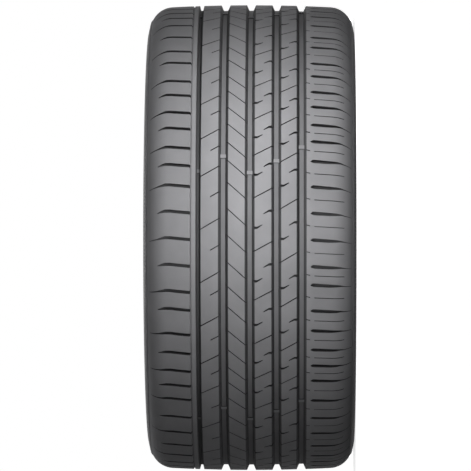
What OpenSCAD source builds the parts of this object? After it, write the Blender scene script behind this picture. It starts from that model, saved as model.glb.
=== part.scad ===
// Low-profile car tyre for a 20 inch rim, moulded in one piece and lying on its sidewall.
// The wheel axis is Z and the origin is the wheel centre. Lengths are in millimetres.
// "Along" the tread means round the wheel, and "across" it means from one sidewall to the other.
// The tread is asymmetric, with five grooves and a pitch that varies round the tyre.

/* [Tyre size] */
// Outside diameter over the tread
tyre_d = 685; // [665:1:720]
// Width across the sidewalls
section_w = 301; // [290:1:330]
// Rubber between the groove floors and the air chamber
undertread_t = 9; // [7:0.5:14]
// Wall thickness at the middle of the sidewall
sidewall_t = 8; // [6:0.5:12]

/* [Rim fit] */
// Diameter of the rim's bead seat: 512.8 for rim code 20, 487.4 for rim code 19
rim_seat_d = 512.8; // [487.4, 512.8]
// Distance between the rim's flanges, 10.5 inches
rim_w = 266.7; // [254:0.1:275]
// Height of the rim's flange over the bead seat
flange_h = 17.5; // [15:0.1:19]
// Radius of the rim flange's lip
flange_r = 9.5; // [8:0.1:11]
// Width of the bead from heel to toe
bead_w = 20; // [17:0.5:24]
// Radius of the bead's heel
heel_r = 6.5; // [5:0.5:8]

/* [Outline] */
// Radius of the crown across the tread
crown_r = 2300; // [1200:50:4000]
// Width of each shoulder, from the edge of the flat tread to the widest point
shoulder_w = 34.5; // [33:0.5:38]
// Radius of the shoulder
shoulder_r = 34; // [28:0.5:34.5]
// Radius of the sidewall above its widest point
upper_wall_r = 48; // [44:1:60]
// Radius of the sidewall below its widest point
lower_wall_r = 60; // [50:1:80]
// Height of the ridge that guards the rim's edge
guard_h = 1.5; // [0.5:0.25:3]
// Width across the top of that ridge
guard_w = 3.5; // [2.5:0.5:5]
// Height of the ring moulded round the upper sidewall
ring_h = 0.8; // [0.4:0.1:1.5]

/* [Grooves] */
// Depth of the four wide grooves
groove_depth = 8; // [6:0.25:9]
// Distance from the tread's middle to the two inner side grooves
inner_groove_z = 37.4; // [34:0.2:41]
// Distance from the tread's middle to the two outer side grooves
outer_groove_z = 73; // [70:0.2:76]
// Width of the wide grooves at the surface
groove_w = 11.8; // [9:0.2:14]
// Width of the wide grooves at the floor
groove_floor_w = 6.4; // [4:0.2:8]
// Width of the narrow groove at the surface
slim_groove_w = 7; // [5:0.2:8]
// Width of the narrow groove at the floor
slim_floor_w = 3.4; // [2:0.2:4.5]
// Depth of the narrow groove
slim_depth = 7; // [5:0.25:8]
// Distance from the tread's middle to the fine groove beside the narrow one
fine_groove_z = 84; // [82:0.2:86]
// Width of that fine groove
fine_groove_w = 1.8; // [1:0.1:2.4]
// Depth of that fine groove
fine_depth = 3; // [2:0.25:4]

/* [Tread pattern] */
// Order of the short, middle and long pitches, read round the tread from first_angle
pitch_order = "LLLLSSMMLSLLLLMSMSMSLSLLMSMLLMSMLLMSLMLMLSLLMMSLMLLMSMLMLMSMLMLSML";
// Direction of the first pitch, in degrees round the wheel axis
first_angle = -158; // [-180:1:180]
// Depth of the shoulder slots
slot_depth = 6.5; // [4:0.25:7]
// Width of the shoulder slots
slot_w = 4; // [2.5:0.25:5]
// Depth of the sipes in the ribs
sipe_depth = 5.5; // [4:0.25:7]
// Depth of the sipes in the lower shoulder
shoulder_sipe_depth = 3; // [2:0.25:4]
// Width of the sipes
sipe_w = 1.1; // [0.8:0.1:1.6]
// Width of a notch where it opens into its groove
notch_w = 2.6; // [1.6:0.2:4]
// Height of the tread wear bars over the groove floor
wear_bar_h = 1.6; // [1.6:0.1:2.5]
// Length of a wear bar along its groove
wear_bar_l = 6; // [4:0.5:9]
// Pitches from one set of wear bars to the next
wear_bar_every = 11; // [6, 11, 22]

/* [Hidden] */
$fn = 96;
rubber = "#3b3b3d";

tyre_r = tyre_d / 2;
seat_r = rim_seat_d / 2;

// Points on an arc round c, from angle a to angle b in n steps
function arc(c, r, a, b, n) =
    [for (i = [0:n]) let (t = a + (b - a) * i / n) [c[0] + r * cos(t), c[1] + r * sin(t)]];
function reversed(points) = [for (i = [len(points) - 1:-1:0]) points[i]];
function mirrored(points) = [for (p = points) [p[0], -p[1]]];

// Outlines below are [distance from the wheel axis, height over the middle plane].
// The crown is an arc of crown_r.
function crown_at(z) = tyre_r - crown_r + sqrt(crown_r * crown_r - z * z);
tread_z = section_w / 2 - shoulder_w;
edge_slope = asin(tread_z / crown_r);

// The shoulder arc runs on from the crown, and the upper sidewall arc from the shoulder to the widest point
shoulder_c = [crown_at(tread_z) - shoulder_r * cos(edge_slope), tread_z - shoulder_r * sin(edge_slope)];
upper_c_z = section_w / 2 - upper_wall_r;
join_slope = asin((shoulder_c[1] - upper_c_z) / (upper_wall_r - shoulder_r));
widest_r = shoulder_c[0] - (upper_wall_r - shoulder_r) * cos(join_slope);
upper_c = [widest_r, upper_c_z];
lower_c = [widest_r, section_w / 2 - lower_wall_r];
ring_slope = 63;
ring_span = 2;

// The bead, from the rim flange's lip round the heel and along the seat to the toe
flange_z = rim_w / 2;
lip_r = seat_r + flange_h;
lip_c = [lip_r - flange_r, flange_z + flange_r];
heel_c = [seat_r + heel_r, flange_z - heel_r];
toe_z = flange_z - bead_w;
toe_chamfer = 1.5;
toe_t = 8;

// The ridge over the rim's edge, between the lip and the lower sidewall arc
guard_low_r = lip_r + 5;
guard_high_r = guard_low_r + guard_w;
valley_slope = asin((widest_r - guard_high_r - 3) / lower_wall_r);
guard_z = lower_c[1] + lower_wall_r * cos(valley_slope) + guard_h;

// The air chamber's wall, at one thickness behind the tread and another behind the sidewall
tread_t = groove_depth + undertread_t;
bead_filler = [seat_r + 20, flange_z - 6];
chamber_low = 105;
chamber_high = 75;

// One side of the outline, from the tread's edge down the sidewall, round the bead and up the air chamber
side = concat(
    arc(shoulder_c, shoulder_r, edge_slope, join_slope, 7),
    [upper_c + upper_wall_r * [cos(ring_slope), sin(ring_slope)]],
    arc(upper_c, upper_wall_r + ring_h, ring_slope + 1, ring_slope + 1 + ring_span, 1),
    arc(upper_c, upper_wall_r, ring_slope + 2 + ring_span, 90, 2),
    arc(lower_c, lower_wall_r, 90 + valley_slope / 2, 90 + valley_slope, 1),
    [[guard_high_r, guard_z], [guard_low_r, guard_z]],
    arc(lip_c, flange_r, 0, -90, 5),
    arc(heel_c, heel_r, 90, 180, 4),
    [[seat_r, toe_z + toe_chamfer], [seat_r + toe_chamfer, toe_z],
     [seat_r + toe_t, toe_z + toe_chamfer], bead_filler],
    arc(lower_c, lower_wall_r - sidewall_t, chamber_low, 90, 2),
    arc(upper_c, upper_wall_r - sidewall_t, 82, chamber_high, 1),
    arc(shoulder_c, shoulder_r - tread_t, join_slope, edge_slope, 4));

// The grooves from the upper shoulder to the lower one: height, width, floor width and depth
grooves = [
    [fine_groove_z, fine_groove_w, fine_groove_w / 2, fine_depth],
    [outer_groove_z, slim_groove_w, slim_floor_w, slim_depth],
    for (z = [inner_groove_z, 0, -inner_groove_z, -outer_groove_z])
        [z, groove_w, groove_floor_w, groove_depth]];
function groove_points(g) = let (floor_r = crown_at(g[0]) - g[3]) [
    [crown_at(g[0] + g[1] / 2), g[0] + g[1] / 2],
    [floor_r, g[0] + g[2] / 2],
    [floor_r, g[0] - g[2] / 2],
    [crown_at(g[0] - g[1] / 2), g[0] - g[1] / 2]];
crown = [for (g = grooves, p = groove_points(g)) p];
chamber_crown = [for (z = [-tread_z / 2, 0, tread_z / 2]) [crown_at(z) - tread_t, z]];

module carcass() {
    rotate_extrude()
        polygon(concat(crown, mirrored(side), chamber_crown, reversed(side)));
}

// The pitches are 7, 8 and 10 units long
function units(letter) = letter == "S" ? 7 : letter == "M" ? 8 : 10;
pitch_n = len(pitch_order);
function units_before(i) = i == 0 ? 0 : units_before(i - 1) + units(pitch_order[i - 1]);
unit_angle = 360 / units_before(pitch_n);
unit_l = unit_angle * PI * tyre_d / 360;
function pitch_angle(i) = first_angle + unit_angle * units_before(i);
function length_before(i) = unit_l * units(pitch_order[(i + pitch_n - 1) % pitch_n]);

// Turns a drawing of [along, across] points to face outwards at a pitch, r from the wheel axis
module at_pitch(i, r, z = 0) {
    rotate([0, 0, pitch_angle(i)])
        rotate([90, 0, 90])
            translate([0, z, r])
                children();
}

// How far a cutter stands out over the tread, and how far one runs on into a groove past its sloped wall
proud = 2;
run_in = 2.4;

// A cut straight down into a rib
module rib_cut(i, points) {
    at_pitch(i, tyre_r - sipe_depth)
        linear_extrude(sipe_depth + proud) polygon(points);
}

// A cut across a shoulder, whose floor falls away outwards, as the tread does.
// side is 1 above the middle plane and -1 below it. The second number of each point grows outwards.
slot_fall = 6;
module shoulder_cut(i, side, inner_z, depth, points) {
    at_pitch(i, crown_at(inner_z) - depth, side * inner_z)
        rotate([-side * slot_fall, 0, 0])
            linear_extrude(depth + 4 * proud)
                polygon([for (p = points) [p[0], side * (p[1] - inner_z)]]);
}

// A band of even width along the tread, between two points
function band(a, b, w) =
    [[a[0] - w / 2, a[1]], [b[0] - w / 2, b[1]], [b[0] + w / 2, b[1]], [a[0] + w / 2, a[1]]];

// A sipe from edge to edge of a rib: where it starts at the upper edge, and how much further along it ends
function sipe(rib, start, climb) = let (
    extra = climb * run_in / (rib[0] - rib[1]))
    band([start - extra, rib[0] + run_in], [start + climb + extra, rib[1] - run_in], sipe_w);

// A notch that opens into a groove at a rib's edge, keeps its width for a stretch and then thins to a sipe's.
// inwards is -1 from an upper edge and 1 from a lower one.
notch_mouth = 4.5;
notch_l = 12;
function notch(edge_z, inwards, start, climb) = let (
    mouth = edge_z - inwards * run_in,
    neck = edge_z + inwards * notch_mouth,
    tip = edge_z + inwards * notch_l)
    [[start - notch_w / 2, mouth], [start - notch_w / 2, neck],
     [start + climb - sipe_w / 2, tip], [start + climb + sipe_w / 2, tip],
     [start + notch_w / 2, neck], [start + notch_w / 2, mouth]];

// The ribs between the grooves, as [upper edge, lower edge]
rib_2 = [outer_groove_z - slim_groove_w / 2, inner_groove_z + groove_w / 2];
rib_3 = [inner_groove_z - groove_w / 2, groove_w / 2];
rib_4 = [-groove_w / 2, groove_w / 2 - inner_groove_z];
rib_5 = [-inner_groove_z - groove_w / 2, groove_w / 2 - outer_groove_z];
lower_shoulder_z = outer_groove_z + groove_w / 2;

// Where each cut starts ahead of its pitch, along the tread, and how far it climbs or falls across its rib.
// A lag is the share of the pitch before it by which a cut lies back.
rib_2_start = 15;
rib_2_climb = 15.2;
half_sipe = 12;
rib_3_start = 17.3;
rib_3_lag = 0.29;
rib_3_climb = -23.3;
rib_4_start = 2.7;
rib_4_climb = 14;
rib_4_upper_notch = 16.4;
rib_4_lower_notch = 3.3;
rib_5_start = 6;
rib_5_climb = 14.3;
rib_5_upper_notch = 19.7;
rib_5_lower_notch = 23.9;
middle_lag = 0.5;
notch_climb = 4.3;
lower_slot_start = 37;
slot_run_out = tread_z + 27;

// The upper shoulder's slot is bowed. Every second one runs out down the shoulder in a thin tail.
module upper_slot(i, full) {
    h = slot_w / 2;
    bow = 4.5;
    tail = full
        ? [[bow - 8.9, slot_run_out], [bow - 9.9, slot_run_out]]
        : [[1.8, tread_z + 13], [0.4, tread_z + 14], [-1, tread_z + 13]];
    shoulder_cut(i, 1, fine_groove_z, slot_depth, concat(
        [[-h, fine_groove_z], [h, fine_groove_z], [bow / 2 + h, tread_z - 16], [bow + h, tread_z - 4],
         [bow + 0.9 * h, tread_z + 4], [bow / 2 + 0.6 * h, tread_z + 11]],
        tail,
        [[1 - 0.6 * h, tread_z + 11], [bow - 0.9 * h, tread_z + 4],
         [bow - h, tread_z - 4], [bow / 2 - h, tread_z - 16]]));
}

// The lower shoulder's slot starts at a point and thins out down the shoulder
module lower_slot(i) {
    h = slot_w / 2;
    tip_z = lower_shoulder_z + 7;
    shoulder_cut(i, -1, tip_z, slot_depth, [for (p = [
        [0, tip_z], [h, tip_z + 5], [h - 2.6, tread_z + 2], [h - 4.6, tread_z + 14], [-5.4, slot_run_out],
        [-6.4, slot_run_out], [-h - 4, tread_z + 14], [-h - 3.4, tread_z + 2], [-h - 0.6, tip_z + 5]])
        [p[0] + lower_slot_start, p[1]]]);
}

// Midway between two lower slots lie a thin sipe and a short dash that opens into the last groove
module lower_sipes(i) {
    start = lower_slot_start - 0.48 * length_before(i);
    fall = 2.3;
    shoulder_cut(i, -1, lower_shoulder_z + 12, shoulder_sipe_depth,
        band([start, lower_shoulder_z + 12], [start - fall, tread_z + 17], sipe_w));
    shoulder_cut(i, -1, lower_shoulder_z - run_in, shoulder_sipe_depth,
        band([start + 0.8, lower_shoulder_z - run_in], [start - 0.8, lower_shoulder_z + 6], sipe_w));
}

// Every second pitch has the long slot and sipe, and the fourth and fifth ribs take turns
module pitch(i) {
    full = i % 2 == 0;
    before = length_before(i);
    upper_slot(i, full);
    lower_slot(i);
    lower_sipes(i);
    if (full)
        rib_cut(i, sipe(rib_2, rib_2_start, rib_2_climb));
    else
        rib_cut(i, band(
            [rib_2_start + rib_2_climb * (1 - half_sipe / (rib_2[0] - rib_2[1])), rib_2[1] + half_sipe],
            [rib_2_start + rib_2_climb * 1.1, rib_2[1] - run_in], sipe_w));
    rib_cut(i, sipe(rib_3, rib_3_start - rib_3_lag * before, rib_3_climb));
    if (full) {
        rib_cut(i, sipe(rib_4, rib_4_start - middle_lag * before, rib_4_climb));
        rib_cut(i, notch(rib_4[0], -1, rib_4_upper_notch, notch_climb));
        rib_cut(i, notch(rib_5[0], -1, rib_5_upper_notch - middle_lag * before, notch_climb));
        rib_cut(i, notch(rib_5[1], 1, rib_5_lower_notch, -notch_climb));
    } else {
        rib_cut(i, sipe(rib_5, rib_5_start, rib_5_climb));
        rib_cut(i, notch(rib_4[1], 1, rib_4_lower_notch, -notch_climb));
    }
}

// Wear bars cross the grooves in sets, each bar a little further along than its pitch.
// Each is sunk into the groove's floor and walls.
wear_bars = [
    [outer_groove_z, slim_groove_w, slim_depth, 22.7],
    [inner_groove_z, groove_w, groove_depth, 45.4],
    [0, groove_w, groove_depth, 20.3],
    [-inner_groove_z, groove_w, groove_depth, 38.3],
    [-outer_groove_z, groove_w, groove_depth, 59.8]];
first_wear_bar = 3;
module wear_bar_set(i) {
    for (b = wear_bars)
        rotate([0, 0, b[3] / tyre_r * 180 / PI])
            at_pitch(i, crown_at(b[0]) - b[2] - 1, b[0])
                translate([-wear_bar_l / 2, -b[1] / 2, 0])
                    cube([wear_bar_l, b[1], wear_bar_h + 1]);
}

module tyre() {
    color(rubber) difference() {
        union() {
            carcass();
            for (i = [first_wear_bar:wear_bar_every:pitch_n - 1]) wear_bar_set(i);
        }
        for (i = [0:pitch_n - 1]) pitch(i);
    }
}

tyre();
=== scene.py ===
"""A low-profile car tyre lying on its sidewall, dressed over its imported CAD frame.

The tyre's sizes are millimetres, and its mesh is put into Blender in metres. The floor, the lamps and the
camera are in metres. The wheel axis is Z. "Along" the tread means round the wheel, and "across" it means
from one sidewall to the other.
"""

import math

import bmesh
import bpy
import numpy as np
from mathutils import Matrix, Vector
from mathutils.geometry import delaunay_2d_cdt


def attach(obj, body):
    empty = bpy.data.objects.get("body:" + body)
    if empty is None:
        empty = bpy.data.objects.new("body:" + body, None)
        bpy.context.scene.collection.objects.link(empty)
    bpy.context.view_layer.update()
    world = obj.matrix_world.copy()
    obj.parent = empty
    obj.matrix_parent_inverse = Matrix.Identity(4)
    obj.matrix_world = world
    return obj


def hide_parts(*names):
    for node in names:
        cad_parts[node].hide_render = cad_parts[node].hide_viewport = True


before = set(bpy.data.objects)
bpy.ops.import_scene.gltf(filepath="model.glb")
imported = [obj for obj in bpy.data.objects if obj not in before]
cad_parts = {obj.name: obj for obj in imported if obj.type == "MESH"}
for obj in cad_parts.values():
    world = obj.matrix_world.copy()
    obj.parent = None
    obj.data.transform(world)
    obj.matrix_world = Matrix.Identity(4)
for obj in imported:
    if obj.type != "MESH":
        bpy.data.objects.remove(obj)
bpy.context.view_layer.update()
scene = bpy.context.scene


# The tyre's outline. A tyre is cured in a steel mould of two side plates and a ring of tread
# segments, so its whole outside is one smooth outline turned round the wheel axis.
tyre_r = 342.5
half_w = 150.5
crown_r = 2300.0
tread_z = half_w - 34.5
shoulder_r = 34.0
upper_wall_r = 48.0
# The tread sheet reaches down both shoulders to end_z, and the carcass takes over there
end_z = 144.5


def crown_at(z):
    """Height of the crown over the axis: an arc of crown_r across the tread, highest in the middle."""
    return tyre_r - crown_r + np.sqrt(crown_r ** 2 - np.asarray(z, float) ** 2)


edge_slope = math.degrees(math.asin(tread_z / crown_r))
shoulder_c = (float(crown_at(tread_z)) - shoulder_r * math.cos(math.radians(edge_slope)),
              tread_z - shoulder_r * math.sin(math.radians(edge_slope)))
upper_c_z = half_w - upper_wall_r
join_slope = math.degrees(math.asin((shoulder_c[1] - upper_c_z) / (upper_wall_r - shoulder_r)))
widest_r = shoulder_c[0] - (upper_wall_r - shoulder_r) * math.cos(math.radians(join_slope))
upper_c = (widest_r, upper_c_z)
join_z = shoulder_c[1] + shoulder_r * math.sin(math.radians(join_slope))


def outside_at(z):
    """Radius of the outside at a height: the crown, then the shoulder's arc, then the upper wall's."""
    z = np.abs(np.asarray(z, float))
    on_shoulder = shoulder_c[0] + np.sqrt(np.maximum(shoulder_r ** 2 - (z - shoulder_c[1]) ** 2, 0))
    on_wall = upper_c[0] + np.sqrt(np.maximum(upper_wall_r ** 2 - (z - upper_c[1]) ** 2, 0))
    return np.where(z < tread_z, crown_at(z), np.where(z < join_z, on_shoulder, on_wall))


# The tread. Four wide grooves, a narrow one and a fine one run round it. Shoulder slots, sipes and
# notches are placed from 66 pitches of three lengths, so that the tyre doesn't hum on one note.
tread_l = 2 * math.pi * tyre_r
groove_depth = 8.0
brow_w = 0.5
brow_h = 0.7
foot_w = 0.2
fine_brow_w = 0.3
sipe_w = 1.7
sipe_depth = 5.5
slot_w = 4.6
slot_depth = 6.5
shoulder_sipe_w = 1.1
shoulder_sipe_depth = 3.0
dash_w = 1.3
dash_run_in = 1.0125
notch_l = 12
notch_neck_l = 4.5
notch_mouth_w, notch_neck_w, notch_tip_w = 4.4, 3.0, 1.2
wear_bar_h = 1.6
wear_bar_l = 5.4
# Of each groove: its height on the tyre, its width over the rounded brows, its floor's width, its depth
wide_grooves = [(z, 13.2, 6.4, groove_depth) for z in (37.4, 0.0, -37.4, -73.0)]
slim_groove = (72.5, 6.6, 3.4, 7.0)
fine_groove = (83.6, 2.6, 1.2, 1.8)


def groove_half(width, floor_w, depth, levels):
    """(offset, depth) points down a groove's wall: its rounded brow, one at each level, and its floor."""
    run = (width - floor_w) / 2
    brow = [(width / 2 + brow_w, 0.0), (width / 2, 0.15), (width / 2 - brow_h * run / depth, brow_h)]
    wall = [(width / 2 - run * d / depth, d) for d in levels]
    foot = [(floor_w / 2 - foot_w, depth)]
    return brow + wall + foot


lines = []
for z, width, floor_w, depth in wide_grooves + [slim_groove]:
    half = groove_half(width, floor_w, depth, [sipe_depth, depth - wear_bar_h])
    lines += [(z + o, d) for o, d in half] + [(z - o, d) for o, d in half]
z, width, floor_w, depth = fine_groove
half = [(width / 2 + fine_brow_w, 0.0), (width / 2, 0.25), (floor_w / 2, depth)]
lines += [(z + o, d) for o, d in half] + [(z, depth)] + [(z - o, d) for o, d in half]
# Plain lines keep the shoulders round
shoulder_z = np.concatenate([[90, 98, 107, 112], np.linspace(tread_z, end_z, 12)])
lines += [(side * float(z), 0.0) for side in (1, -1) for z in shoulder_z]
lines = np.array(sorted(lines, key=lambda p: p[0]))
line_z, line_depth = lines[:, 0], lines[:, 1]
line_r = outside_at(line_z) - line_depth


def base_r(z):
    """Radius of the grooved tread without its cuts, straight between the lines that run along it."""
    return np.interp(z, line_z, line_r)


# The order of long, middle and short pitches round the tyre, and where each pitch starts along the tread
pitch_order = "LLLLSSMMLSLLLLMSMSMSLSLLMSMLLMSMLLMSLMLMLSLLMMSLMLLMSMLMLMSMLMLSML"
pitch_n = len(pitch_order)
steps_per_pitch = 4
steps = pitch_n * steps_per_pitch
first_angle = math.radians(-158)
units = np.array([{"S": 7, "M": 8, "L": 10}[letter] for letter in pitch_order])
unit_l = tread_l / units.sum()
step_l = tread_l / steps
pitch_s = first_angle * tyre_r + unit_l * np.concatenate([[0], np.cumsum(units)[:-1]])
length_before = unit_l * np.roll(units, 1)


def cut(start_s, points, floor, floor_painted_shade):
    """A cut's outline, moved to its pitch and wrapped on the tread, with its floor and its floor's
    painted shade.

    floor is the floor's radius as a function of height."""
    p = np.array(points, float)
    p[:, 0] = start_s + tyre_r * np.arctan(p[:, 0] / tyre_r)
    return {"outline": p, "floor": floor, "tone": floor_painted_shade}


def rib_cut(i, points):
    """A cut straight down into a rib."""
    return cut(pitch_s[i], points, lambda z: np.full(z.shape, tyre_r - sipe_depth), sipe_floor_painted_shade)


def shoulder_cut(i, side, depths, points):
    """A cut across a shoulder. depths are (height, depth under the outside) points, joined straight."""
    at, depth = np.array(depths, float).T
    return cut(pitch_s[i], [(a, side * z) for a, z in points],
               lambda z: outside_at(z) - np.interp(z, at, depth), slot_floor_painted_shade)


def band(a, b, w):
    """The outline of a straight cut between two (along, height) points, w wide along the tread."""
    return [(a[0] - w / 2, a[1]), (b[0] - w / 2, b[1]), (b[0] + w / 2, b[1]), (a[0] + w / 2, a[1])]


# A rib's cuts are counted between edges that lie a little past the brows of the grooves beside it
past_brow = 0.7
past_slim_brow = 0.3


def rib_edge(groove, side, past):
    """Height of the edge of the rib above a groove, side 1, or below it, side -1."""
    return groove[0] + side * (groove[1] / 2 - past)


def run_into(groove, past):
    """How far a cut runs past its rib's edge to end on the groove's wall where both are equally deep."""
    _, width, floor_w, depth = groove
    return (width - floor_w) / 2 * sipe_depth / depth - past


run_in = run_into(wide_grooves[0], past_brow)
slim_run_in = run_into(slim_groove, past_slim_brow)
rib_2 = (rib_edge(slim_groove, -1, past_slim_brow), rib_edge(wide_grooves[0], 1, past_brow))
rib_3, rib_4, rib_5 = [
    (rib_edge(upper, -1, past_brow), rib_edge(lower, 1, past_brow))
    for upper, lower in zip(wide_grooves, wide_grooves[1:])]
lower_shoulder_z = -rib_edge(wide_grooves[3], -1, past_brow)
slot_run_out = tread_z + 27


def sipe(rib, start, climb):
    """A sipe from edge to edge of a rib, from start at the upper edge, climbing along on the way down."""
    extra = climb * run_in / (rib[0] - rib[1])
    upper_run = slim_run_in if rib == rib_2 else run_in
    return band((start - extra, rib[0] + upper_run), (start + climb + extra, rib[1] - run_in), sipe_w)


def notch(edge_z, inwards, start, climb):
    """A notch that opens into a groove and gets thinner inwards, and bends at its neck by climb."""
    spine = [(start, edge_z - inwards * run_in, notch_mouth_w / 2),
             (start, edge_z + inwards * notch_neck_l, notch_neck_w / 2),
             (start + climb, edge_z + inwards * notch_l, notch_tip_w / 2)]
    return [(a - h, z) for a, z, h in spine] + [(a + h, z) for a, z, h in spine[::-1]]


def along_spine(spine):
    """The outline of a slot from (along, height, share of slot_w) points on its middle line."""
    h = slot_w / 2
    return [(a + h * w, z) for a, z, w in spine] + [(a - h * w, z) for a, z, w in spine[::-1]]


def upper_slot(i, full):
    """The bowed slot of the upper shoulder, which gets shallow outwards. A full one has a thin tail."""
    spine = [(0.3, fine_groove[0], 1.0), (1.8, tread_z - 16, 1.0), (3.1, tread_z - 4, 1.0),
             (3.1, tread_z + 3, 0.95), (1.9, tread_z + 8, 0.7)]
    depths = [(83, slot_depth), (tread_z - 4, slot_depth), (tread_z + 4, 4.6)]
    if full:
        spine += [(0.2, tread_z + 15, 0.4), (-2.4, tread_z + 25, 0.2)]
        depths += [(tread_z + 15, 2.2), (tread_z + 25, 0.6)]
    else:
        spine += [(0.1, tread_z + 13.5, 0.25)]
        depths += [(tread_z + 13.5, 1.0)]
    return shoulder_cut(i, 1, depths, along_spine(spine))


def lower_slot(i):
    """The lower shoulder's slot, which starts at a point and gets thin and shallow down the shoulder."""
    start = lower_shoulder_z + 6.5
    spine = [(37.3, start, 0.15), (37.7, start + 3.5, 1.05), (37.4, start + 6, 1.15),
             (36.0, tread_z - 4, 1.0), (35.6, tread_z + 6, 0.8), (35.3, tread_z + 12, 0.5),
             (34.2, tread_z + 17, 0.3), (32.2, slot_run_out, 0.15)]
    depths = [(lower_shoulder_z, slot_depth), (tread_z, slot_depth), (tread_z + 8, 4.6),
              (tread_z + 15, 2.0), (slot_run_out, 0.7)]
    return shoulder_cut(i, -1, depths, along_spine(spine))


def lower_sipes(i):
    """A thin sipe midway between two lower slots, and a short dash that opens into the last groove."""
    start = 37 - 0.48 * length_before[i]
    flat = shoulder_sipe_depth
    sipe_z = (lower_shoulder_z + 12, tread_z + 17)
    dash_z = (lower_shoulder_z - dash_run_in, lower_shoulder_z + 6)
    return [
        shoulder_cut(i, -1, [(sipe_z[0], flat), (tread_z, flat), (sipe_z[1], 1.6)], band(
            (start, sipe_z[0]), (start - 2.3, sipe_z[1]), shoulder_sipe_w)),
        shoulder_cut(i, -1, [(dash_z[0], flat), (dash_z[1], flat)], band(
            (start + 2.5, dash_z[0]), (start + 0.9, dash_z[1]), dash_w))]


def pitch_cuts(i):
    """All the cuts of one pitch. Every second pitch is full, and the fourth and fifth ribs take turns.

    A cut that lies between two pitches starts a share of the pitch before further back."""
    full, before = i % 2 == 0, length_before[i]
    start_2, climb_2, notch_climb = 15, 15.2, 4.3
    cuts = [upper_slot(i, full), lower_slot(i), *lower_sipes(i),
            rib_cut(i, sipe(rib_3, start=17.3 - 0.29 * before, climb=-23.3))]
    if full:
        cuts += [rib_cut(i, points) for points in (
            sipe(rib_2, start=start_2, climb=climb_2),
            sipe(rib_4, start=2.7 - 0.5 * before, climb=14),
            notch(rib_4[0], inwards=-1, start=17.0, climb=notch_climb),
            notch(rib_5[0], inwards=-1, start=20.2 - 0.5 * before, climb=notch_climb),
            notch(rib_5[1], inwards=1, start=24.8, climb=-notch_climb))]
    else:
        # The second rib's short sipe is the lower end of a long one
        short = notch_l / (rib_2[0] - rib_2[1])
        cuts += [rib_cut(i, points) for points in (
            band((start_2 + climb_2 * (1 - short), rib_2[1] + notch_l),
                 (start_2 + climb_2 * 1.07, rib_2[1] - run_in), sipe_w),
            sipe(rib_5, start=6, climb=14.3),
            notch(rib_4[1], inwards=1, start=3.3, climb=-notch_climb))]
    return cuts


# How light the rubber is, as a share of the rib tops, by the kind of face. Groove walls, the narrow
# groove's floor and the walls and floors of cuts are darkened as painted shade, and the wear bars' tops
# are made lighter.
open_tone, groove_wall_painted_shade, slim_floor_painted_shade = 1.0, 0.35, 0.4
cut_wall_painted_shade, sipe_floor_painted_shade, slot_floor_painted_shade = 0.2, 0.25, 0.42
bar_tone, slim_bar_painted_shade = 1.3, 0.64
cuts = [c for i in range(pitch_n) for c in pitch_cuts(i)]

# Bars of rubber across the grooves show when the tread is worn out. They stand in six sets, each placed
# by a pitch and a distance past its start, and bar_along spreads a set's bars along the tread.
bar_sets = ((2, 6.9), (14, 0.0), (25, 0.0), (36, 0.0), (47, 0.0), (58, 0.0))
bar_along = (24.5, 47.2, 22.1, 40.1, 61.6)
bars = []
for i, late in bar_sets:
    for (z, width, floor_w, depth), along in zip([slim_groove] + wide_grooves, bar_along):
        middle_s = pitch_s[i] + late + along
        half_l, half_side = wear_bar_l / 2, floor_w / 2 + (width - floor_w) / 2 * wear_bar_h / depth
        bars.append({
            "outline": np.array([
                (middle_s - half_l, z - half_side), (middle_s + half_l, z - half_side),
                (middle_s + half_l, z + half_side), (middle_s - half_l, z + half_side)]),
            "top": float(crown_at(z)) - depth + wear_bar_h,
            # A bar's top is made lighter by 1.3, and one in the narrow groove is darkened by 0.64 as
            # painted shade
            "tone": slim_bar_painted_shade if z == slim_groove[0] else bar_tone})


def inside(points, outline):
    """Which points lie in an outline: a ray from such a point crosses an odd number of its sides."""
    a, b = outline, np.roll(outline, -1, axis=0)
    x, y = points[:, :1], points[:, 1:]
    spans = (a[:, 1] > y) != (b[:, 1] > y)
    with np.errstate(divide="ignore", invalid="ignore"):
        cross_x = a[:, 0] + (y - a[:, 1]) * (b[:, 0] - a[:, 0]) / (b[:, 1] - a[:, 1])
    return (spans & (x < cross_x)).sum(1) % 2 == 1


def reaching_into(items, s0, s1):
    """The cuts or bars that reach into the stretch s0 to s1, with outlines counted from its middle."""
    found = []
    for item in items:
        p = item["outline"]
        for turn in (-tread_l, 0, tread_l):
            if p[:, 0].min() + turn < s1 and p[:, 0].max() + turn > s0:
                found.append((item, p + np.array([turn - (s0 + s1) / 2, 0])))
    return found


def flat_triangles(grid_s, outlines):
    """A flat stretch of tread as points, triangles and their middles, cut along lines and outlines."""
    coords = [np.stack(np.meshgrid(grid_s, line_z, indexing="ij"), -1).reshape(-1, 2)]
    count = len(coords[0])
    number = np.arange(count).reshape(len(grid_s), len(line_z))
    edges = [np.stack([number[:-1].ravel(), number[1:].ravel()], 1)]
    for k in (0, -1):
        edges.append(np.stack([number[k, :-1], number[k, 1:]], 1))
    for p in outlines:
        ring = np.arange(len(p)) + count
        coords.append(p)
        edges.append(np.stack([ring, np.roll(ring, -1)], 1))
        count += len(p)
    flat, _, tris, _, _, _ = delaunay_2d_cdt(
        [Vector(c) for c in np.concatenate(coords).tolist()], np.concatenate(edges).tolist(),
        [], 0, 1e-4, False)
    v = np.array([(p.x, p.y) for p in flat])
    f = np.array(tris)
    middle = v[f].mean(1)
    keep = (np.abs(middle[:, 0]) < grid_s[-1]) & (np.abs(middle[:, 1]) < end_z)
    return v, f[keep], middle[keep]


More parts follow.
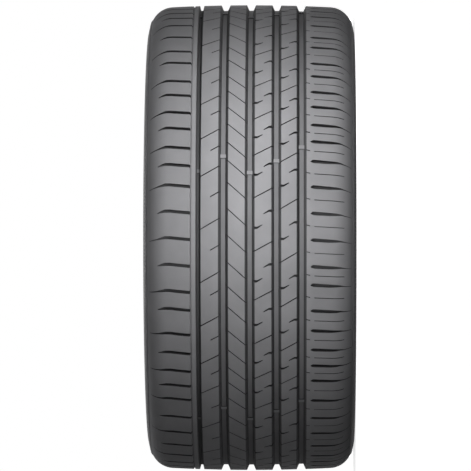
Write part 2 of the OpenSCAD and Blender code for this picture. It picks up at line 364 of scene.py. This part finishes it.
def upright_walls(f, top):
    """Quads and triangles that join neighbours at different radii.

    f numbers the faces' flat points, and top the points at their radii. Each half edge, keyed by its
    two flat points, finds the half edge that runs the other way."""
    n = f.max() + 1
    a, b = f.ravel(), np.roll(f, -1, axis=1).ravel()
    top_a, top_b = top.ravel(), np.roll(top, -1, axis=1).ravel()
    key, back = a * n + b, b * n + a
    order = np.argsort(key)
    twin = order[np.clip(np.searchsorted(key[order], back), 0, len(key) - 1)]
    found = (key[twin] == back) & (a < b)
    own_a, own_b = top_a[found], top_b[found]
    other_a, other_b = top_b[twin[found]], top_a[twin[found]]
    split_a, split_b = own_a != other_a, own_b != other_b
    quads = np.stack([own_b, own_a, other_a, other_b], 1)[split_a & split_b]
    tris = [np.stack([own_b, own_a, other_a], 1)[split_a & ~split_b],
            np.stack([own_b, own_a, other_b], 1)[~split_a & split_b]]
    return quads, tris


def tread_sector(j):
    """Sector j of the tread as (angle, height, radius) points, lists of triangles, quads, and the painted
    shade of each top face.

    Each flat triangle takes the radius of the grooved tread, raised to the top of a bar that it lies
    in, or lowered to the floor of the deepest cut. A flat point becomes one point for each radius."""
    s0, s1 = j * steps_per_pitch * step_l, (j + 1) * steps_per_pitch * step_l
    mid = (s0 + s1) / 2
    near_cuts, near_bars = reaching_into(cuts, s0, s1), reaching_into(bars, s0, s1)
    v, f, middle = flat_triangles(
        np.linspace(s0, s1, steps_per_pitch + 1) - mid, [p for _, p in near_cuts + near_bars])
    r = base_r(v[:, 1])[f]
    painted_shades = np.full(len(f), open_tone)
    # Painted shade: darker groove walls, and a darker floor in the narrow groove
    for z, width, floor_w, _ in wide_grooves + [slim_groove]:
        away = np.abs(middle[:, 1] - z)
        on_floor = away <= floor_w / 2 - foot_w - 0.1
        painted_shades[(away < width / 2 + brow_w) & ~on_floor] = groove_wall_painted_shade
        if z == slim_groove[0]:
            painted_shades[on_floor] = slim_floor_painted_shade
    for item, p in near_bars:
        hit = inside(middle, p)
        r[hit] = np.maximum(r[hit], item["top"])
        painted_shades[hit] = item["tone"]
    for item, p in near_cuts:
        hit = inside(middle, p)
        r[hit] = np.minimum(r[hit], item["floor"](np.abs(v[:, 1])[f[hit]]))
        painted_shades[hit] = item["tone"]
    corner = np.stack([f.ravel(), np.round(r.ravel() * 1000).astype(int)], 1)
    _, first, top = np.unique(corner, axis=0, return_index=True, return_inverse=True)
    top = top.reshape(-1, 3)
    flat_v = v[f.ravel()[first]]
    points = np.stack([(flat_v[:, 0] + mid) / tyre_r, flat_v[:, 1], r.ravel()[first]], 1)
    quads, wall_tris = upright_walls(f, top)
    return points, [top, *wall_tris], quads, painted_shades


all_points, all_tris, all_quads, tri_painted_shades = [], [], [], []
count = 0
for j in range(pitch_n):
    points, tris, quads, painted_shades = tread_sector(j)
    all_points.append(points)
    all_tris += [t + count for t in tris]
    all_quads.append(quads + count)
    # The upright walls of cuts are darkened as painted shade
    tri_painted_shades += [painted_shades, np.full(len(tris[1]) + len(tris[2]), cut_wall_painted_shade)]
    count += len(points)
angles, heights, radii = np.concatenate(all_points).T
tread_depth = np.maximum(outside_at(heights) - radii, 0)
tread_xyz = np.stack([radii * np.cos(angles), radii * np.sin(angles), heights], 1)
tread_faces = np.concatenate(all_tris).tolist() + np.concatenate(all_quads).tolist()
tread_painted_shades = np.concatenate([*tri_painted_shades, np.full(sum(len(q) for q in all_quads), cut_wall_painted_shade)])


# The sidewalls, beads and air chamber. The sidewalls flex, so they are thin, with a ridge low down that
# guards the rim. The beads hold the steel hoops that grip the rim, and the inner liner keeps the air in.
undertread_t = 9.0
sidewall_t = 8.0
lower_wall_r = 60.0
seat_r = 256.4
bead_w = 20.0
heel_r = 6.5
flange_z = 133.35
flange_h = 17.5
flange_r = 9.5
lower_c = (widest_r, half_w - lower_wall_r)
lip_r = seat_r + flange_h
lip_c = (lip_r - flange_r, flange_z + flange_r)
heel_c = (seat_r + heel_r, flange_z - heel_r)
toe_z = flange_z - bead_w
guard_h = 1.5
guard_foot = 3
guard_low_r = lip_r + 5
guard_high_r = guard_low_r + 3.5
valley_slope = math.degrees(math.asin((widest_r - guard_high_r - guard_foot) / lower_wall_r))
guard_z = lower_c[1] + lower_wall_r * math.cos(math.radians(valley_slope)) + guard_h
fit_line_z = 146.5
fit_line_h = 0.4
# Degrees on the upper wall's arc, counted from level, between which the wall is serrated
serrated_from, serrated_to = 70.5, 84.5
lip_steps, heel_steps = 8, 6


def arc(c, r, a, b, n):
    """n + 1 points on a circle of radius r round c, from a to b degrees, as (radius, height)."""
    t = np.radians(np.linspace(a, b, n + 1))
    return np.stack([c[0] + r * np.cos(t), c[1] + r * np.sin(t)], 1)


def raised(c, r, a, b, height):
    """A low line moulded on an arc from a to b degrees: its foot, its top and its foot again."""
    slope = math.degrees(height / r)
    return np.concatenate([
        arc(c, r, a - slope, a - slope, 0), arc(c, r + height, a, b, 1),
        arc(c, r, b + slope, b + slope, 0)])


# Down the sidewall: the mould's parting line, the thick ring, the lines beside the serrated band, the
# bare band under it, the ridge that guards the rim, the line that shows how the bead sits, and the lip
outer_side = np.concatenate([
    raised(upper_c, upper_wall_r, 61.8, 62.2, 0.25),
    arc(upper_c, upper_wall_r, 63.2, 63.2, 0),
    arc(upper_c, upper_wall_r + 0.8, 63.8, 66.2, 2),
    arc(upper_c, upper_wall_r, 66.8, 68.5, 1),
    raised(upper_c, upper_wall_r, serrated_from - 1.0, serrated_from - 0.4, 0.4),
    arc(upper_c, upper_wall_r, serrated_from + 2, serrated_to - 2, 3),
    raised(upper_c, upper_wall_r, serrated_to + 0.4, serrated_to + 1.0, 0.25),
    arc(upper_c, upper_wall_r, 87, 90, 1),
    arc(lower_c, lower_wall_r, 90, 98, 4)[1:],
    raised(lower_c, lower_wall_r, 99.6, 100.2, 0.3),
    [(guard_high_r + guard_foot, guard_z - guard_h), (guard_high_r + 0.5, guard_z - 0.15),
     (guard_high_r - 0.2, guard_z), (guard_low_r + 0.3, guard_z), (guard_low_r - 0.3, guard_z - 0.4)],
    [(guard_low_r, fit_line_z + 0.6), (guard_low_r - fit_line_h, fit_line_z + 0.3),
     (guard_low_r - fit_line_h, fit_line_z - 0.3), (guard_low_r, fit_line_z - 0.6)],
    arc(lip_c, flange_r, 0, -90, lip_steps),
    arc(heel_c, heel_r, 90, 180, heel_steps)])
bead = np.array([(seat_r, toe_z + 1.5), (seat_r + 0.5, toe_z + 0.5), (seat_r + 1.5, toe_z)])
inner_side = np.concatenate([
    [(seat_r + 8, toe_z + 1.5), (seat_r + 14, toe_z + 7.5), (seat_r + 20, flange_z - 6)],
    arc(lower_c, lower_wall_r - sidewall_t, 105, 90, 4),
    arc(upper_c, upper_wall_r - sidewall_t, 82, 75, 1),
    arc(shoulder_c, shoulder_r - groove_depth - undertread_t, join_slope, edge_slope, 6)])
inner_z = np.array([58, 0, -58])
inner_crown = np.stack([crown_at(inner_z) - groove_depth - undertread_t, inner_z], 1)
flip = np.array([1, -1])
profile = np.concatenate([
    outer_side, bead, inner_side, inner_crown,
    inner_side[::-1] * flip, bead[::-1] * flip, outer_side[::-1] * flip])
ends = np.array([(float(outside_at(end_z)), end_z), (float(outside_at(end_z)), -end_z)])
profile = np.concatenate([ends[:1], profile, ends[1:]])


def turned(profile, steps):
    """A profile turned round the wheel axis: points at equal angles, and quads between neighbours."""
    n = len(profile)
    t = np.arange(steps)[:, None] * 2 * math.pi / steps
    r, z = profile.T
    xyz = np.stack([r * np.cos(t), r * np.sin(t), np.broadcast_to(z, (steps, n))], -1)
    i, k = np.meshgrid(np.arange(steps), np.arange(n - 1), indexing="ij")
    a, b = i * n + k, ((i + 1) % steps) * n + k
    return xyz.reshape(-1, 3), np.stack([a, b, b + 1, a + 1], -1).reshape(-1, 4)


carcass_xyz, carcass_faces = turned(profile, steps)
# Strips between the profile's points: 1 is sidewall rubber, 2 the harder rubber of the bead, 3 the liner.
# The bead's rubber starts where the lip does.
side_n = len(outer_side) - lip_steps - heel_steps - 1
liner_n = len(inner_side) * 2 + len(inner_crown) - 1
bead_n = (len(profile) - 1 - 2 * side_n - liner_n) // 2
strip_finish = np.concatenate([
    np.full(side_n, 1), np.full(bead_n, 2), np.full(liner_n, 3), np.full(bead_n, 2), np.full(side_n, 1)])

# The whole tyre: the tread sheet and the carcass, welded into one closed skin
tyre_mesh = bpy.data.meshes.new("tyre_rubber")
tyre_mesh.from_pydata(
    (np.concatenate([tread_xyz, carcass_xyz]) * 0.001).tolist(), [],
    tread_faces + (carcass_faces + len(tread_xyz)).tolist())
tyre_mesh.polygons.foreach_set("material_index", np.concatenate([
    np.zeros(len(tread_faces), int), np.tile(strip_finish, steps)]).astype(np.int32))
depth = tyre_mesh.attributes.new("groove_depth", "FLOAT", "POINT")
depth.data.foreach_set("value", np.concatenate([
    tread_depth, np.zeros(len(carcass_xyz))]).astype(np.float32))
# Each tread face's painted shade: a share of the rib tops' grey that darkens groove walls and cut insides
tone = tyre_mesh.attributes.new("painted_shade_share", "FLOAT", "FACE")
tone.data.foreach_set("value", np.concatenate([
    tread_painted_shades, np.ones(len(carcass_faces))]).astype(np.float32))
bm = bmesh.new()
bm.from_mesh(tyre_mesh)
bmesh.ops.remove_doubles(bm, verts=bm.verts, dist=2e-6)
bmesh.ops.recalc_face_normals(bm, faces=bm.faces)
bm.to_mesh(tyre_mesh)
bm.free()
tyre_mesh.shade_smooth()
tyre_mesh.set_sharp_from_angle(angle=math.radians(30))
tyre = bpy.data.objects.new("tyre_rubber", tyre_mesh)
scene.collection.objects.link(tyre)
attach(tyre, "root")
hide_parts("tyre")


# Moulded tread rubber: carbon black rubber cured against blasted steel. It is matt, a near-neutral grey
# where light falls on it straight, with a grain about 0.3 mm across, drawn coarser here so that it shows.
def linear(hex_colour):
    """An sRGB hex colour as the linear RGBA that a shader socket takes."""
    c = np.array([int(hex_colour[i:i + 2], 16) / 255 for i in (1, 3, 5)])
    return tuple(np.where(c <= 0.04045, c / 12.92, ((c + 0.055) / 1.055) ** 2.4)) + (1.0,)


def add(tree, kind, settings=None, **inputs):
    """Adds a node. settings are its own properties, and each input is a number, a colour or a socket.

    An input is named with _ for a space, or as i0, i1 and so on for its place in the node."""
    node = tree.nodes.new(kind)
    for name, value in (settings or {}).items():
        setattr(node, name, value)
    for name, value in inputs.items():
        by_place = name[0] == "i" and name[1:].isdigit()
        socket = node.inputs[int(name[1:]) if by_place else name.replace("_", " ")]
        if isinstance(value, bpy.types.NodeSocket):
            tree.links.new(value, socket)
        else:
            socket.default_value = value
    return node


def shader(name):
    """A new material and its node tree, emptied."""
    material = bpy.data.materials.new(name)
    material.use_nodes = True
    material.node_tree.nodes.clear()
    return material, material.node_tree


def tread_rubber():
    """A clouded grey, darkened as painted shade by the groove's depth and by each face's painted shade
    share, and grained.
    """
    material, tree = shader("moulded_tread_rubber")
    place = add(tree, "ShaderNodeTexCoord").outputs["Object"]
    grain = add(tree, "ShaderNodeTexNoise", Vector=place, Scale=700.0, Detail=3.0, Roughness=0.6)
    cloud = add(tree, "ShaderNodeTexNoise", Vector=place, Scale=22.0, Detail=3.0, Roughness=0.55)
    tone = add(tree, "ShaderNodeMapRange", Value=cloud.outputs[0], From_Min=0.3, From_Max=0.7)
    colour = add(tree, "ShaderNodeMix", {"data_type": "RGBA"}, i0=tone.outputs[0],
                 i6=linear("#777779"), i7=linear("#7e7e80"))
    # Painted shade by depth: the grey falls to 0.72 of itself at a groove's floor
    painted_depth_shade = add(tree, "ShaderNodeAttribute", {"attribute_name": "groove_depth"})
    painted_depth_shade = add(tree, "ShaderNodeMapRange", Value=painted_depth_shade.outputs["Fac"],
               From_Max=groove_depth, To_Min=1.0, To_Max=0.72)
    # Each face's painted shade share, set by its kind of face
    kind = add(tree, "ShaderNodeAttribute", {"attribute_name": "painted_shade_share"})
    share = add(tree, "ShaderNodeMath", {"operation": "MULTIPLY"},
                i0=painted_depth_shade.outputs[0], i1=kind.outputs["Fac"])
    colour = add(tree, "ShaderNodeVectorMath", {"operation": "SCALE"},
                 i0=colour.outputs[2], Scale=share.outputs[0])
    bump = add(tree, "ShaderNodeBump", Strength=0.5, Distance=0.0002, Height=grain.outputs[0])
    surface = add(tree, "ShaderNodeBsdfPrincipled", Base_Color=colour.outputs[0], Roughness=0.85,
                  Specular_IOR_Level=0.06, Normal=bump.outputs["Normal"])
    add(tree, "ShaderNodeOutputMaterial", Surface=surface.outputs[0])
    return material


tyre_mesh.materials.append(tread_rubber())


# Moulded sidewall rubber: the same black rubber against smoother side plates, so it is a little darker
# and has a soft sheen. A band of fine radial ribs is cut into the plates. They stand about 1.5 mm apart
# on the real one and are drawn 5 mm apart, so that they show.
def round_axis(tree, place):
    """Two sockets: the angle round the wheel axis in radians, and the distance from it in metres."""
    parts = add(tree, "ShaderNodeSeparateXYZ", Vector=place)
    angle = add(tree, "ShaderNodeMath", {"operation": "ARCTAN2"},
                i0=parts.outputs[1], i1=parts.outputs[0])
    flat = add(tree, "ShaderNodeVectorMath", {"operation": "MULTIPLY"}, i0=place, i1=(1, 1, 0))
    away = add(tree, "ShaderNodeVectorMath", {"operation": "LENGTH"}, i0=flat.outputs[0])
    return angle.outputs[0], away.outputs["Value"]


def sidewall_rubber():
    """A clouded, grained grey. The ribs are a sine of the angle, kept between two radii, with painted
    shade between them and a painted highlight on their crests.
    """
    material, tree = shader("moulded_sidewall_rubber")
    rib_n = 360
    place = add(tree, "ShaderNodeTexCoord").outputs["Object"]
    grain = add(tree, "ShaderNodeTexNoise", Vector=place, Scale=900.0, Detail=2.0, Roughness=0.5)
    cloud = add(tree, "ShaderNodeTexNoise", Vector=place, Scale=14.0, Detail=4.0, Roughness=0.55)
    tone = add(tree, "ShaderNodeMapRange", Value=cloud.outputs[0], From_Min=0.3, From_Max=0.7)
    colour = add(tree, "ShaderNodeMix", {"data_type": "RGBA"}, i0=tone.outputs[0],
                 i6=linear("#5a5a5c"), i7=linear("#646466"))
    angle, away = round_axis(tree, place)
    turns = add(tree, "ShaderNodeMath", {"operation": "MULTIPLY"}, i0=angle, i1=rib_n)
    wave = add(tree, "ShaderNodeMath", {"operation": "SINE"}, i0=turns.outputs[0])
    rib = add(tree, "ShaderNodeMapRange", {"interpolation_type": "SMOOTHSTEP"}, Value=wave.outputs[0],
              From_Min=-0.6, From_Max=0.6)
    outer_r = (upper_c[0] + upper_wall_r * math.cos(math.radians(serrated_from))) / 1000
    inner_r = (upper_c[0] + upper_wall_r * math.cos(math.radians(serrated_to))) / 1000
    inside_of = add(tree, "ShaderNodeMath", {"operation": "LESS_THAN"}, i0=away, i1=outer_r)
    outside_of = add(tree, "ShaderNodeMath", {"operation": "GREATER_THAN"}, i0=away, i1=inner_r)
    in_band = add(tree, "ShaderNodeMath", {"operation": "MULTIPLY"},
                  i0=inside_of.outputs[0], i1=outside_of.outputs[0])
    ribs = add(tree, "ShaderNodeMath", {"operation": "MULTIPLY"},
               i0=rib.outputs[0], i1=in_band.outputs[0])
    fine = add(tree, "ShaderNodeBump", Strength=0.5, Distance=0.0002, Height=grain.outputs[0])
    bump = add(tree, "ShaderNodeBump", Strength=1.0, Distance=0.0005, Height=ribs.outputs[0],
               Normal=fine.outputs["Normal"])
    # Painted shade and highlight on the ribs: the grey runs from 0.62 of itself between them to 1.08 on
    # their crests
    groove = add(tree, "ShaderNodeMapRange", Value=ribs.outputs[0], To_Min=0.62, To_Max=1.08)
    share = add(tree, "ShaderNodeMath", {"operation": "SUBTRACT"}, i0=1.0, i1=in_band.outputs[0])
    share = add(tree, "ShaderNodeMath", {"operation": "MAXIMUM"},
                i0=share.outputs[0], i1=groove.outputs[0])
    colour = add(tree, "ShaderNodeVectorMath", {"operation": "SCALE"},
                 i0=colour.outputs[2], Scale=share.outputs[0])
    surface = add(tree, "ShaderNodeBsdfPrincipled", Base_Color=colour.outputs[0], Roughness=0.65,
                  Specular_IOR_Level=0.15, Normal=bump.outputs["Normal"])
    add(tree, "ShaderNodeOutputMaterial", Surface=surface.outputs[0])
    return material


tyre_mesh.materials.append(sidewall_rubber())


# Bead rubber: a hard rubber that seals on the rim. It is cured against a turned ring, which leaves it
# smooth, a little shiny and marked with fine rings, about 1 mm apart and drawn 2 mm apart.
def bead_rubber():
    """A nearly even grey, set a little lighter as painted light for the dim inside of the tyre."""
    material, tree = shader("moulded_bead_rubber")
    ring_gap = 0.002
    place = add(tree, "ShaderNodeTexCoord").outputs["Object"]
    grain = add(tree, "ShaderNodeTexNoise", Vector=place, Scale=60.0, Detail=3.0, Roughness=0.5)
    # The grey is set a little lighter than the sidewall's, as painted light for the dim inside
    colour = add(tree, "ShaderNodeMix", {"data_type": "RGBA"}, i0=grain.outputs[0],
                 i6=linear("#5c5c5e"), i7=linear("#6c6c6e"))
    height = add(tree, "ShaderNodeSeparateXYZ", Vector=place).outputs[2]
    turns = add(tree, "ShaderNodeMath", {"operation": "MULTIPLY"}, i0=height, i1=2 * math.pi / ring_gap)
    rings = add(tree, "ShaderNodeMath", {"operation": "SINE"}, i0=turns.outputs[0])
    bump = add(tree, "ShaderNodeBump", Strength=0.5, Distance=0.0001, Height=rings.outputs[0])
    surface = add(tree, "ShaderNodeBsdfPrincipled", Base_Color=colour.outputs[2], Roughness=0.45,
                  Specular_IOR_Level=0.4, Normal=bump.outputs["Normal"])
    add(tree, "ShaderNodeOutputMaterial", Surface=surface.outputs[0])
    return material


tyre_mesh.materials.append(bead_rubber())


# Inner liner: an airtight rubber sheet, pressed out by a ribbed bladder. The release agent on it dries to
# a lighter grey film in patches, and the bladder leaves slanting vent lines about 20 mm apart.
def liner_rubber():
    """A grey, painted lighter than the tread rubber as painted light for the dim inside, under patches of
    lighter film. A vent runs where a sine of angle and height is near 1.
    """
    material, tree = shader("bladder_cured_liner_rubber")
    vent_n, turns_per_height = 100, 110
    place = add(tree, "ShaderNodeTexCoord").outputs["Object"]
    cloud = add(tree, "ShaderNodeTexNoise", Vector=place, Scale=9.0, Detail=5.0, Roughness=0.6)
    film = add(tree, "ShaderNodeMapRange", Value=cloud.outputs[0], From_Min=0.35, From_Max=0.68)
    # Partly the release film's patches, and partly painted light: both greys are lighter than the
    # tread's, to light the dim inside
    colour = add(tree, "ShaderNodeMix", {"data_type": "RGBA"}, i0=film.outputs[0],
                 i6=linear("#7a7a7c"), i7=linear("#9a9a9b"))
    angle, _ = round_axis(tree, place)
    height = add(tree, "ShaderNodeSeparateXYZ", Vector=place).outputs[2]
    slant = add(tree, "ShaderNodeMath", {"operation": "MULTIPLY"}, i0=height, i1=turns_per_height)
    turns = add(tree, "ShaderNodeMath", {"operation": "MULTIPLY_ADD"},
                i0=angle, i1=vent_n, i2=slant.outputs[0])
    wave = add(tree, "ShaderNodeMath", {"operation": "SINE"}, i0=turns.outputs[0])
    vent = add(tree, "ShaderNodeMapRange", {"interpolation_type": "SMOOTHSTEP"}, Value=wave.outputs[0],
               From_Min=0.85, From_Max=0.98)
    bump = add(tree, "ShaderNodeBump", Strength=1.0, Distance=0.0006, Height=vent.outputs[0])
    surface = add(tree, "ShaderNodeBsdfPrincipled", Base_Color=colour.outputs[2], Roughness=0.6,
                  Specular_IOR_Level=0.3, Normal=bump.outputs["Normal"])
    add(tree, "ShaderNodeOutputMaterial", Surface=surface.outputs[0])
    return material


tyre_mesh.materials.append(liner_rubber())


# The floor and the white studio. Cameras see both as white, and the floor keeps the tyre's shadow. Less
# light comes back from the floor to the tyre than a white one would send, as over a dark studio floor.
def seen_directly(tree):
    """A socket that is 1 for rays from the camera, in reflections and through glass, and 0 for others."""
    ray = add(tree, "ShaderNodeLightPath")
    seen = add(tree, "ShaderNodeMath", {"operation": "MAXIMUM"},
               i0=ray.outputs["Is Camera Ray"], i1=ray.outputs["Is Glossy Ray"])
    seen = add(tree, "ShaderNodeMath", {"operation": "MAXIMUM"},
               i0=seen.outputs[0], i1=ray.outputs["Is Transmission Ray"])
    return seen.outputs[0]


def floor_paint():
    """White and glowing to the rays that see it, and a plain grey to the light that it scatters."""
    material, tree = shader("white_studio_floor")
    seen = seen_directly(tree)
    colour = add(tree, "ShaderNodeMix", {"data_type": "RGBA"}, i0=seen,
                 i6=linear("#acacac"), i7=linear("#f4f4f4"))
    paint = add(tree, "ShaderNodeBsdfDiffuse", Color=colour.outputs[2])
    level = add(tree, "ShaderNodeMath", {"operation": "MULTIPLY"}, i0=seen, i1=0.72)
    glow = add(tree, "ShaderNodeEmission", Strength=level.outputs[0])
    both = add(tree, "ShaderNodeAddShader", i0=paint.outputs[0], i1=glow.outputs[0])
    add(tree, "ShaderNodeOutputMaterial", Surface=both.outputs[0])
    return material


# The lowest line moulded on the lower sidewall stands 0.01 mm clear of the floor
floor_z = -0.15066
floor_half = 30
floor_mesh = bpy.data.meshes.new("studio_floor")
floor_mesh.from_pydata([
    (x * floor_half, y * floor_half, floor_z) for x, y in ((-1, -1), (1, -1), (1, 1), (-1, 1))],
    [], [(0, 1, 2, 3)])
floor_mesh.materials.append(floor_paint())
floor = bpy.data.objects.new("studio_floor", floor_mesh)
scene.collection.objects.link(floor)

# The world is white to cameras and in reflections, and gives the tyre a faint even light
world = bpy.data.worlds.new("studio")
scene.world = world
world.use_nodes = True
world.node_tree.nodes.clear()
seen = seen_directly(world.node_tree)
level = add(world.node_tree, "ShaderNodeMapRange", Value=seen, To_Min=0.04, To_Max=1.0)
sky = add(world.node_tree, "ShaderNodeBackground", Color=(1, 1, 1, 1), Strength=level.outputs[0])
add(world.node_tree, "ShaderNodeOutputWorld", Surface=sky.outputs[0])


# Studio lamps: upright strips near the tread light it from the front and the back, and two wide soft
# suns from above light the upper sidewall and cast the shadow on the floor.
def sun(name, towards, strength, spread):
    """A wide soft light from far away. towards points at it, and spread is its width in degrees."""
    data = bpy.data.lights.new(name, "SUN")
    data.energy = strength
    data.angle = math.radians(spread)
    obj = bpy.data.objects.new(name, data)
    obj.rotation_euler = Vector(towards).to_track_quat("Z", "Y").to_euler()
    scene.collection.objects.link(obj)


def strip_light(name, degrees, from_axis, length, power):
    """A strip light 100 mm wide that faces the wheel axis, from an angle round it that is 0 in front."""
    data = bpy.data.lights.new(name, "AREA")
    data.shape = "RECTANGLE"
    data.size, data.size_y = length, 0.1
    data.energy = power
    obj = bpy.data.objects.new(name, data)
    t = math.radians(degrees)
    towards = Vector((math.sin(t), -math.cos(t), 0))
    obj.location = towards * from_axis
    obj.rotation_euler = towards.to_track_quat("Z", "Y").to_euler()
    obj.visible_camera = False
    scene.collection.objects.link(obj)


strip_light("front_strip", degrees=19, from_axis=0.54, length=0.62, power=1.56)
strip_light("low_front_strip", degrees=-20, from_axis=0.7, length=0.62, power=0.34)
strip_light("high_front_strip", degrees=40, from_axis=0.7, length=0.62, power=0.12)
strip_light("back_strip", degrees=200, from_axis=0.6, length=0.5, power=1.6)
strip_light("upper_strip", degrees=145, from_axis=0.6, length=0.5, power=1.5)
sun("high_front", towards=(0.25, -0.4, 0.85), strength=0.4, spread=25)
sun("high_back", towards=(0.15, 0.65, 0.75), strength=0.7, spread=25)

# A round lamp over the opening reaches the inner liner, and nothing on the outside of the tread
data = bpy.data.lights.new("opening_lamp", "AREA")
data.shape = "DISK"
data.size = 0.35
data.energy = 1.0
lamp = bpy.data.objects.new("opening_lamp", data)
lamp.location = (0, 0, 0.36)
lamp.visible_camera = False
scene.collection.objects.link(lamp)

# The camera stands 20 tyre radii away at the tyre's height, turned a quarter turn, so that the wheel
# axis lies across the picture.
stand = Vector((0, -6.85, -0.058))
back = stand.normalized()
right = (Vector((0, 0, -1)) - Vector((0, 0, -1)).dot(back) * back).normalized()
up = back.cross(right)
camera_data = bpy.data.cameras.new("camera")
camera_data.sensor_width = 36
camera_data.lens = 354.8
camera_data.shift_x = -0.0343
camera_data.shift_y = 0.0045
camera_data.clip_end = 100
camera = bpy.data.objects.new("camera", camera_data)
camera.matrix_world = Matrix((
    (right[0], up[0], back[0], stand[0]),
    (right[1], up[1], back[1], stand[1]),
    (right[2], up[2], back[2], stand[2]),
    (0, 0, 0, 1)))
scene.collection.objects.link(camera)
scene.camera = camera
scene.view_settings.view_transform = "Standard"
